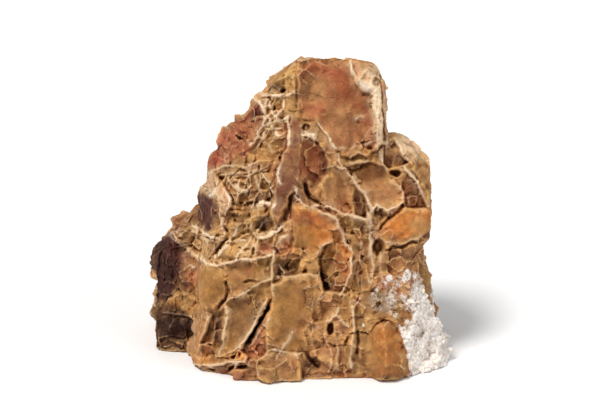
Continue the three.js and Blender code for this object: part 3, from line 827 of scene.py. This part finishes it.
# %% [markdown]
# Boxwork is what is left when the stone between fine seams has weathered out: threads round small
# dished boxes. The boxes are cells stretched along one lath, a few ovals say where they are on the
# front, and noise puts more on the other sides.

# %% Boxwork
VEINED = [(-32, 111, 17, 12), (-17, 148, 8, 20), (-42, 82, 28, 13), (-70, 80, 12, 9),
          (-54, 113, 8, 9)]
BOX = 7.0
STRETCH = 0.45      # how much of their run along the lath is taken out before the cells are cut
lath = unit(np.array([[0.75, 0.2, 0.6]]))[0]
slant = points + 0.18 * (bent - points)
slant -= STRETCH * np.outer(slant @ lath, lath)
boxes = cells(slant, BOX, 5)
veined = ramp(layered(points, 34, 61), 0.12, 0.4) * (1 - facing)
for oval in VEINED:
    veined = np.maximum(veined, ramp(in_oval(*oval), 0.0, 0.35) * facing)
thread = 0.34 + 0.2 * chance(boxes["pair"], 19)
box_on = (chance(boxes["pair"], 11) < 0.85) * ramp(noise(points, 9, 42), -1.0, -0.3)
box_dish = 0.3 + 2.0 * chance(boxes["id"], 12) ** 1.5
relief -= veined * box_dish * (1 - on_border(boxes["border"], 1.2))
relief += veined * on_border(boxes["border"], 0.8) * box_on * 0.6
box_pale = (0.35 + 0.5 * chance(boxes["pair"], 14)) * (0.3 + 0.7 * faded) * (1 - 0.45 * facing)
note_seam(np.where((veined > 0.3) & (box_on > 0.3), boxes["border"] / thread, FAR_OFF), box_pale)
chip_pale = 0.4 * chance(chips["pair"], 21) * (1 - calm)
note_seam(np.where((chip_line > 0) & (seam_way > 2.5), chips["border"] / 0.4, FAR_OFF), chip_pale)
print("boxwork covers", round(float((veined > 0.3).mean()), 3), "of the stone")

# %% [markdown]
# Free seams are added to the plates, and cracks, hollows and a few weathered holes are taken out
# of them. No step may be too steep, least of all on the outline, where it would show as a comb.

# %% Free seams, cracks and hollows
for pale, half, high_mm, route, *step in SEAMS:
    away, side, along = to_line(route)
    body = np.clip(1 - away / (half * 1.3), 0, 1) ** 0.9
    relief += facing * 0.95 * high_mm * body * ragged
    fade = ramp(along, 0, 4) * np.clip(1 - away / 11, 0, 1) ** 1.3
    relief += facing * 0.5 * sum(step) * np.clip(side * away / 0.6, -1, 1) * fade
    width = half * (0.5 + 0.5 * ragged)
    note_seam(np.where(on_front, away / width, FAR_OFF), pale * (0.4 + 0.6 * faded))

for half, deep, route in CRACKS:
    away, side, along = to_line(route)
    mouth = np.clip(1 - away / half, 0, 1) ** 0.7 * ramp(along, -1, 2.5)
    relief -= facing * deep * mouth

for deep, *oval in HOLLOWS:
    relief -= facing * deep * np.clip(in_oval(*oval) * 2.2, 0, 1) ** 0.8

HOLE_SPACING, HOLE_DEPTH, DENT_DEPTH = 27, 6, 6
holes = cells(upright(bent, 0.8), HOLE_SPACING, 9)
hole_on = (chance(holes["id"], 23) < 0.6) * wild
relief -= hole_on * HOLE_DEPTH * ramp(holes["inside"], 2 + 4 * chance(holes["id"], 24), 0.5)
relief -= DENT_DEPTH * ramp(in_egg((82, -30, 64), (18, 46, 13)), 0, 0.8)      # over the heel
calmer = smoothed(relief, 4)
steepest = 0.5 + 3 * facing
relief = calmer + np.clip(relief - calmer, -steepest, steepest)
print("relief spans", np.round(np.percentile(relief, [0, 5, 50, 95, 100]), 1), "mm")

# %% [markdown]
# White sugary calcite has grown over the lower right corner, with a few knobs above it and one on
# the left. It is a crust of small round-shouldered crystals, laid over whatever relief is under
# it. A row is a centre, how far it reaches each way, and how solid it is: a thin crust comes and
# goes in speckles.

# %% Crust
CRUSTS = [
    ((79, -42, 20), (23, 28, 41), 1.0), ((56, -52, 48), (19, 24, 16), 0.42),
    ((84, -10, 30), (14, 30, 34), 1.0), ((72, -38, 48), (12, 28, 20), 0.55),
    ((-58, -22, 107), (8, 14, 8), 0.5), ((50, -50, 58), (3.5, 12, 4), 0.8),
    ((61, -46, 59), (4.5, 12, 5), 0.8), ((35, -55, 31), (3, 10, 3), 1.0),
]
CRYSTAL, SUGAR = 3.1, 1.7
crust = np.zeros(point_count)
edge_wander = layered(points, 11, 71) * 0.28 + noise(points, 2.5, 72) * 0.08
for centre, reach, solid in CRUSTS:
    crust = np.maximum(crust, solid * ramp(in_egg(centre, reach) + edge_wander, -0.1, 0.24))
crust *= 1 - ramp(in_oval(47, 15, 13, 22), 0.0, 0.12) * facing       # the dome stays bare
crystals = cells(points + drift(points, 2, 73) * 0.4, CRYSTAL, 6)
sugar = cells(points, SUGAR, 7)
relief += crust * (1.1 * (1 - (crystals["inside"] / 1.9) ** 2) * (0.4 + chance(crystals["id"], 15)))
relief += crust * 0.35 * (1 - sugar["inside"] ** 2)
print("crust covers", round(float(crust.mean()), 3), "of the stone")

# %% [markdown]
# Weathering leaves small chips, pits and grain. Then the whole relief is given to the skin: each
# point moves along its calm outward direction, or on the front mostly along the line of sight, so
# that what was drawn on the board stays where it was drawn.

# %% Grain, and move the skin
DEEPEST = 16        # no place goes further in than this
PULL = 0.85         # how far the front moves along the line of sight
relief += layered(points, 4.5, 81) * 0.3 * rough_share
pits = cells(points, 5.5, 8)
pit_on = chance(pits["id"], 16) < 0.2
relief -= np.where(pit_on, rough_share * np.clip(1 - pits["inside"] / 1.5, 0, 1) ** 0.7, 0)
relief = np.maximum(relief, -DEEPEST)

pull = PULL * facing[:, None]
moved = points + unit(outwards * (1 - pull) + sight * pull) * relief[:, None]
middle = (moved.max(0) + moved.min(0)) / 2
moved -= [middle[0], middle[1], 0]
moved[:, 2] = np.maximum(moved[:, 2], 0)
rock.data.vertices.foreach_set("co", (moved * MM).astype(np.float32).ravel())
rock.data.update()
print("the moved skin measures", np.round(moved.max(0) - moved.min(0), 1), "mm")

# %% [markdown]
# A few broader blushes cross the plates: ovals on the board, each with its colour and strength.

# %% Blushes
# The umber ovals, all but the one on the maroon block, are painted shade in hollows and recesses.
BLUSHES = [
    ("tan", 0.7, 24, 149, 14, 16), ("olive", 0.6, 9, 171, 5, 6), ("rust", 0.6, 20, 180, 10, 6),
    ("ochre", 0.6, 30, 133, 14, 5), ("maroon", 0.8, -33, 150, 14, 4.5, 40),
    ("umber", 0.5, -15, 171, 6, 4), ("maroon", 0.75, -58, 98, 10, 10), ("umber", 0.4, -58, 96, 7, 6),
    ("red", 0.85, -39, 140, 18, 12, 38), ("maroon", 0.6, 12, 127, 6, 11), ("keel", 0.6, 5, 117, 7, 6),
    ("rust", 0.8, 0, 94, 9, 5), ("red", 0.35, 0, 172, 6, 14), ("red", 0.5, 4, 158, 9, 6),
    ("red", 0.4, 16, 182, 12, 6), ("rust", 0.6, -10, 136, 6, 22, -8),
    ("maroon", 0.45, -12, 112, 5, 16, -10), ("maroon", 0.6, -73, 92, 10, 9),
    ("red", 0.45, -66, 62, 7, 12), ("rust", 0.5, 4, 130, 9, 12), ("rust", 0.5, 64, 108, 9, 8),
    ("rust", 0.5, 24, 60, 4, 10), ("rust", 0.5, 18, 91, 4, 6), ("straw", 0.5, 67, 90, 7, 7),
    ("umber", 0.6, 14, 56, 4, 6), ("orange", 0.6, 24, 67, 4, 9), ("umber", 0.7, -21, 65, 3, 6),
    ("brown", 0.6, -30, 38, 5, 16, -28), ("umber", 0.6, -50, 28, 3, 9, -6), ("olive", 0.4, 0, 56, 9, 5),
    ("brown", 0.3, 34, 16, 4, 12), ("umber", 0.6, 5, 9, 5, 6), ("orange", 0.5, -57, 17, 9, 9),
    ("brown", 0.45, -13, 7, 13, 9), ("pink", 0.6, -72, 74, 6, 8), ("brown", 0.4, 62, 106, 6, 5),
    ("pink", 0.3, -45, 135, 7, 5, 40), ("grey", 0.75, 47, 46, 12, 8), ("olive", 0.4, 42, 12, 5, 12),
    ("brown", 0.4, 57, 12, 4, 14), ("brown", 0.4, 50, 1, 12, 4), ("brown", 0.25, -8, 125, 7, 28, -8),
    ("straw", 0.4, -40, 84, 24, 9), ("olive", 0.5, -34, 38, 12, 18, -20),
    ("maroon", 0.5, -46, 149, 12, 3, 40), ("cream", 0.95, 43.5, 154, 4.5, 19),
    ("keel", 0.6, -8, 128, 7, 28, -8), ("olive", 0.5, -34, 122, 20, 5), ("brown", 0.5, -34, 124, 18, 5),
    ("rust", 0.6, 21, 63, 6, 12), ("amber", 0.5, 20, 62, 6, 11), ("straw", 0.22, 5, 171, 7, 8),
    ("brown", 0.5, -28, 108, 18, 10), ("olive", 0.4, -18, 140, 8, 12), ("brown", 0.3, 33, 66, 6, 12),
    ("brown", 0.3, 56, 72, 14, 8), ("brown", 0.3, -54, 20, 10, 9), ("olive", 0.5, -34, 36, 12, 18, -20),
    ("cream", 0.75, 40, 177, 9, 7), ("cream", 0.6, -63, 78, 11, 8), ("cream", 0.4, -56, 113, 9, 9),
    ("white", 0.3, 64, 138, 9, 6, -20), ("brown", 0.25, -32, 61, 16, 9),
    ("brown", 0.45, -34, 37, 12, 18, -20), ("brown", 0.45, 30, 146, 12, 14),
    ("brown", 0.6, 17, 60, 7, 13), ("tan", 0.8, 5, 170, 9, 11), ("rust", 0.55, 62, 113, 6, 9),
    ("orange", 0.35, 48, 20, 8, 13), ("straw", 0.7, -62, 77, 10, 7), ("tan", 0.35, -38, 139, 16, 9, 40),
    ("ochre", 0.45, 0, 84, 9, 8), ("rust", 0.4, 15, 92, 7, 6),
]
for name, strength, *oval in BLUSHES:
    lay_colour(name, ramp(in_oval(*oval), 0.0, 0.4) * seen * strength)
print(len(BLUSHES), "blushes lie on the front")

# %% [markdown]
# Then come smaller patches, pale dust and painted light on what looks up, painted shade on what
# looks down, and the dark iron skin of the left flank, which follows the plates and carries painted
# shadow. Last, each plate and chip gets a tint.

# %% Patches, dust, painted light and shade, and tints
# Maroon stain on the left flank and on a block above it; the umber over the flank is painted shadow, the
# lowest egg the painted shade of its underside.
DARK_STAIN_AND_SHADOW = [("maroon", 0.95, (-88, -10, 55), (20, 30, 26)), ("umber", 0.9, (-90, -8, 50), (17, 28, 25)),
        ("maroon", 0.95, (-58, -16, 91), (10, 18, 12)), ("umber", 0.8, (-78, -14, 20), (15, 30, 13))]
DEEPER = (0.91, 0.87, 0.79)         # takes the whole stone a little darker and warmer
unrest = 0.5 * (1 - 0.5 * calm)
lay_patches(("straw", 10, 105, 0.1, 0.45, unrest), ("brown", 9, 107, 0.1, 0.45, unrest),
            ("rust", 16, 109, 0.25, 0.5, 0.3))
looks_up = read_points(rock.data, "normal")[:, 2]
# painted light mixed with pale dust on what looks up; painted shade on what looks down
lay_colour("straw", ramp(looks_up, 0.35, 0.95) * 0.35)
lay_colour("umber", ramp(-looks_up, 0.1, 0.7) * 0.45)
wander = 0.3 * middling + 0.12 * broad_patch + 0.07 * blend
breaks = (0.45 * chance(plates["id"], 26) + 0.55 * chance(chips["id"], 27) - 0.5) * (1 - facing)
stain_and_shadow = np.zeros(point_count)
for name, strength, centre, reach in DARK_STAIN_AND_SHADOW:
    patch = ramp(in_egg(centre, reach) + wander + breaks, 0.0, 0.35)
    patch *= ramp(outwards @ sight, -0.45, 0.1)
    lay_colour(name, patch * strength)
    stain_and_shadow = np.maximum(stain_and_shadow, patch)
tint = 1 + 0.3 * (chance(plates["id"], 17) - 0.5) * wild + 0.14 * (chance(chips["id"], 18) - 0.5)
tint *= 1 + 0.10 * layered(points, 8, 103)
stain = np.clip(stain * tint[:, None] * DEEPER, 0, 1)

NEARBY, WIDE = 12, 90       # passes
fine_dent = smoothed(relief, NEARBY) - relief
broad_dent = smoothed(relief, WIDE) - relief
seam_pale *= ramp(-fine_dent, -0.5, 0.1)           # seams show on crests, not down their sides
# seams dim where the flank has painted shadow
seam_pale *= 1 - 0.7 * stain_and_shadow
print("deepest dent", round(float(broad_dent.max()), 1), "mm")

# %% [markdown]
# What the finish needs to know at each point rides on the mesh as attributes. Decimate then
# merges points where the stone is flat and keeps them where it is not, and carries the
# attributes along. It leaves triangles, because a bent four-sided face can be split either way.

# %% Attributes, and thin the skin
MOST_TRIANGLES = 196000
SHARP = math.radians(42)


def add_attribute(name, kind, key, values):
    attribute = rock.data.attributes.new(name, kind, "POINT")
    attribute.data.foreach_set(key, values.astype(np.float32).ravel())


add_attribute("stain", "FLOAT_COLOR", "color", np.column_stack([stain, np.ones(point_count)]))
for name, values in (("seam_way", np.minimum(seam_way, 6)), ("seam_pale", seam_pale), ("crust", crust),
                     ("stain_and_shadow", stain_and_shadow), ("fine_dent", fine_dent), ("broad_dent", broad_dent)):
    add_attribute(name, "FLOAT", "value", values)


def count_triangles(mesh):
    return sum(len(face.vertices) - 2 for face in mesh.polygons)


apply_modifier(rock, "DECIMATE", ratio=MOST_TRIANGLES / count_triangles(rock.data),
               use_collapse_triangulate=True)
bpy.ops.object.shade_smooth_by_angle(angle=SHARP)
print("thinned to", count_triangles(rock.data), "triangles")

# %% [markdown]
# Shader maths is easier to read as sums than as a web of wires. A Wire wraps a socket, and the
# usual signs add the Math nodes. A Finish makes every other node with one method.

# %% Wires
def sign(operation, swapped=False):
    def apply(self, other):
        pair = (other, self) if swapped else (self, other)
        return self.maths(operation, *pair)
    return apply


class Wire:
    def __init__(self, finish, socket):
        self.finish = finish
        self.socket = socket

    def maths(self, operation, *values):
        return self.finish.node("ShaderNodeMath", {"operation": operation}, dict(enumerate(values)))

    __add__, __radd__ = sign("ADD"), sign("ADD", swapped=True)
    __sub__, __rsub__ = sign("SUBTRACT"), sign("SUBTRACT", swapped=True)
    __mul__, __rmul__ = sign("MULTIPLY"), sign("MULTIPLY", swapped=True)
    __pow__ = sign("POWER")

    def step(self, start, end):
        """0 at start, 1 at end, with a soft change between."""
        sockets = {"Value": self, "From Min": start, "From Max": end}
        kind = {"interpolation_type": "SMOOTHSTEP"}
        return self.finish.node("ShaderNodeMapRange", kind, sockets)


# %% Finishes
class Finish:
    """A material that is built by calling for its nodes."""

    def __init__(self, name):
        self.material = bpy.data.materials.new(name)
        self.material.use_nodes = True
        self.tree = self.material.node_tree
        self.shader = self.tree.nodes["Principled BSDF"]

    def set_socket(self, socket, value):
        if isinstance(value, Wire):
            self.tree.links.new(value.socket, socket)
        else:
            socket.default_value = value

    def node(self, kind, settings=None, sockets=None, output=0):
        node = self.tree.nodes.new(kind)
        for key, value in (settings or {}).items():
            setattr(node, key, value)
        for key, value in (sockets or {}).items():
            self.set_socket(node.inputs[key], value)
        return Wire(self, node.outputs[output])

    def attribute(self, name, output="Fac"):
        return self.node("ShaderNodeAttribute", {"attribute_name": name}, output=output)

    def place(self):
        return self.node("ShaderNodeTexCoord", output="Object")

    def noise(self, size_mm, detail, roughness, seed):
        """Noise with lumps of about the given size, moved along by its seed."""
        moved = self.node("ShaderNodeVectorMath", {"operation": "ADD"},
                          {0: self.place(), 1: (seed, 0.7 * seed, 1.3 * seed)}, "Vector")
        return self.node("ShaderNodeTexNoise", {},
                         {"Vector": moved, "Scale": 1 / (size_mm * MM), "Detail": detail,
                          "Roughness": roughness}, "Fac")

    def cells(self, size_mm, feature="F1"):
        return self.node("ShaderNodeTexVoronoi", {"feature": feature},
                         {"Vector": self.place(), "Scale": 1 / (size_mm * MM)}, "Distance")

    def mix(self, amount, a, b, blend="MIX"):
        return self.node("ShaderNodeMix", {"data_type": "RGBA", "blend_type": blend},
                         {0: amount, 6: a, 7: b}, 2)

    def filtered(self, amount, body, *tint):
        """The body as if seen through a tinted glass, which may also brighten it."""
        return self.mix(amount, body, (*tint, 1.0), "MULTIPLY")

    def feed(self, **sockets):
        for name, value in sockets.items():
            self.set_socket(self.shader.inputs[name.replace("_", " ")], value)


def colour(name, scale=1.0):
    return (*[min(1.0, float(c) * scale) for c in linear(name)], 1.0)


# %% [markdown]
# The finish of the stone, from the ground up: the mineral's own colour with mottling and grain,
# painted shade in what is set back, and wear with a painted highlight on what stands out. Each
# layer filters or covers the one below it, where a noise or a dent says so.

# %% Weathered mineral, painted shade and painted highlight
def weathered(f, grain, mottle, scuff, dust_and_highlight):
    """The stone's colour, and where painted shade lies in its recesses."""
    cloud = f.noise(17.0, 3.0, 0.55, seed=11.0)
    fine_dent = f.attribute("fine_dent")
    body = f.attribute("stain", "Color")
    for pattern, start, full, share, *tint in (
            (mottle - 0.5, -0.02, 0.16, 0.45, 1.36, 1.27, 1.27),
            (0.5 - mottle, 0.0, 0.16, 0.45, 0.62, 0.54, 0.40),
            (cloud - 0.5, 0.0, 0.2, 0.4, 1.3, 1.22, 1.2),
            (0.5 - cloud, 0.0, 0.2, 0.4, 0.72, 0.7, 0.6),
            (scuff - 0.5, 0.02, 0.16, 0.4, 1.4, 1.4, 1.42),
            (0.5 - scuff, 0.02, 0.16, 0.35, 0.62, 0.55, 0.45)):
        body = f.filtered(pattern.step(start, full) * share, body, *tint)
    body = f.mix((grain - 0.5).step(0.0, 0.22) * 0.14 * dust_and_highlight, body, colour("cream", 0.9))
    body = f.filtered((0.46 - grain).step(0.0, 0.2) * 0.4, body, 0.5, 0.42, 0.32)

    # painted shade: darker where the skin is set back from its neighbours, darker still in deep hollows
    recess_shade = (fine_dent + (mottle - 0.5) * 1.2).step(0.2, 1.4) * 0.85
    body = f.filtered(recess_shade, body, 0.52, 0.32, 0.15)
    deep = (f.attribute("broad_dent") + (mottle - 0.5)).step(1.8, 6.0) * 0.8
    body = f.filtered(deep, body, 0.42, 0.22, 0.09)
    # wear and a painted highlight on what stands out, weaker where the flank has painted shadow
    wear_and_highlight = ((grain - 0.5) * 0.8 - fine_dent).step(0.15, 0.9) * dust_and_highlight
    body = f.filtered(wear_and_highlight * 0.5, body, 1.5, 1.5, 1.5)
    return f.mix(wear_and_highlight * 0.35, body, colour("straw", 1.2)), recess_shade


# %% [markdown]
# Calcite sugar is white crystals with cream middles, grey stains and darker gaps. Where the crust
# is thin it is greyer, because the stone shows through.

# %% Calcite sugar
def calcite_sugar(f, crusted):
    """The crust's colour, and how far each place is from the middle of its crystal."""
    crystal = f.cells(2.3)
    gaps = f.cells(2.3, "DISTANCE_TO_EDGE")
    stains = f.noise(5.0, 5.0, 0.7, seed=17.0)
    specks = f.noise(2.2, 3.0, 0.6, seed=19.0)
    sugar = f.mix(crystal.step(0.2, 0.75) * 0.3, colour("white"), colour("cream"))
    sugar = f.mix((stains - 0.5).step(0.02, 0.12) * 0.5, sugar, colour("grey"))
    sugar = f.mix((specks - 0.5).step(0.08, 0.18) * 0.5, sugar, colour("grey", 0.5))
    sugar = f.mix((0.06 - gaps).step(0.0, 0.06) * 0.25, sugar, colour("grey", 0.8))
    return f.mix((1.0 - crusted) * 0.5, sugar, colour("grey", 0.8)), crystal


# %% [markdown]
# The whole finish lays the pale seams and the crust over the weathered mineral. A seam is a
# sharp line in a soft halo, both drawn from how far off the seam is, with noise to make them
# ragged. What feeds the colour also nudges the roughness and the bump.

# %% Limestone
BUMP = 1.3


def limestone():
    f = Finish("limestone")
    grain = f.noise(1.1, 5.0, 0.7, seed=3.0)
    mottle = f.noise(6.0, 5.0, 0.62, seed=7.0)
    scuff = f.noise(2.6, 4.0, 0.65, seed=23.0)
    pale = f.attribute("seam_pale")
    crusted = f.attribute("crust")
    body, recess_shade = weathered(f, grain, mottle, scuff, 1.0 - 0.8 * f.attribute("stain_and_shadow"))

    way = f.attribute("seam_way") + (f.noise(1.4, 4.0, 0.7, seed=5.0) - 0.5) * 1.3
    body = f.mix((1.0 - way.step(0.8, 4.2)) * pale * 0.45, body, colour("cream", 0.7))
    line = (1.0 - way.step(0.6, 1.7)) * pale
    body = f.mix(line ** 1.4 * 1.15, body, colour("cream", 1.1))

    sugar, crystal = calcite_sugar(f, crusted)
    crust_edge = (crusted + (grain - 0.5) * 0.8 + (mottle - 0.5)).step(0.38, 0.6)
    body = f.mix(crust_edge, body, sugar)

    rough = 0.86 - 0.14 * line + 0.08 * recess_shade - 0.22 * crust_edge * crystal.step(0.3, 0.0)
    height = grain * 0.22 + mottle * 0.4 + scuff * 0.40 + f.cells(1.9) * 0.08
    height = height * (1.0 - 0.6 * crust_edge) + crust_edge * (1.0 - crystal) * 0.55
    bump = f.node("ShaderNodeBump", {}, {"Strength": 1.0, "Distance": BUMP * MM, "Height": height},
                  "Normal")
    f.feed(Base_Color=body, Roughness=rough, Normal=bump, Specular_IOR_Level=0.35)
    print("limestone has", len(f.tree.nodes), "nodes")
    return f.material


rock.data.materials.clear()
rock.data.materials.append(limestone())
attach(rock, "root")
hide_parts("rock")

# %% [markdown]
# The stone stands on a plain pale sheet, which lies a hair below its foot so that the two don't
# share a plane.

# %% Floor
SHEET_SIZE = 8
GAP = 0.2
bpy.ops.object.select_all(action="DESELECT")
bpy.ops.mesh.primitive_plane_add(size=SHEET_SIZE)
floor = bpy.context.object
floor.name = "floor"
floor.location.z = -GAP * MM
sheet_finish = Finish("white_sheet")
sheet_finish.feed(Base_Color=(0.94, 0.94, 0.94, 1.0), Roughness=0.9)
floor.data.materials.append(sheet_finish.material)
floor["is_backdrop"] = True
print("the sheet is", SHEET_SIZE, "m wide")

# %% [markdown]
# The light is soft: one large window high on the left, a weaker one on the right, and a bright
# sky that fills the shadows. A sun whose light comes from a wide patch of sky makes a far window.

# %% Lamps and sky
SKY_TINT = (0.97, 0.985, 1.0)
SKY_STRENGTH = 0.44
WINDOWS = {     # bearing, rise, spread in degrees, strength and tint
    "key_window": (318, 58, 16, 2.5, (1.0, 0.985, 0.96)),
    "right_window": (55, 35, 30, 0.45, SKY_TINT),
}


def aim(name, data, bearing, rise, middle=Vector(), distance=1):
    """Stand something off to one side of the middle, looking at it."""
    thing = bpy.data.objects.new(name, data)
    bpy.context.scene.collection.objects.link(thing)
    thing.location = middle + outward(bearing, rise) * distance
    thing.rotation_euler = (-outward(bearing, rise)).to_track_quat("-Z", "Y").to_euler()
    return thing


for name, (bearing, rise, spread, strength, tint) in WINDOWS.items():
    data = bpy.data.lights.new(name, "SUN")
    data.angle = math.radians(spread)
    data.energy = strength
    data.color = tint
    aim(name, data, bearing, rise)

sky = bpy.data.worlds.new("sky")
sky.use_nodes = True
background = sky.node_tree.nodes["Background"]
background.inputs["Color"].default_value = (*SKY_TINT, 1.0)
background.inputs["Strength"].default_value = SKY_STRENGTH
bpy.context.scene.world = sky
print("lit by", *WINDOWS, "and the sky")

# %% [markdown]
# The camera looks from 18 degrees above level with a long lens, so that near and far edges of
# the stone keep nearly the same scale.

# %% Camera
FRAME_SHARE = 0.82      # how much of the frame's height the stone takes up
ASPECT = 600 / 400
LENS = 150
SENSOR = 36
bpy.context.view_layer.update()
seen_low, seen_high = (Vector(corner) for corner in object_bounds())
size = seen_high - seen_low
tilt = math.radians(SIGHT)
seen_height = size.z * math.cos(tilt) + 0.5 * size.y * math.sin(tilt)
distance = seen_height / FRAME_SHARE / (SENSOR / ASPECT) * LENS
view = bpy.data.cameras.new("camera")
view.lens = LENS
view.sensor_width = SENSOR
camera = aim("camera", view, 0, SIGHT, (seen_low + seen_high) / 2, distance)
bpy.context.scene.camera = camera
bpy.context.scene.view_settings.view_transform = "Standard"
print("camera stands", round(distance, 2), "m away")
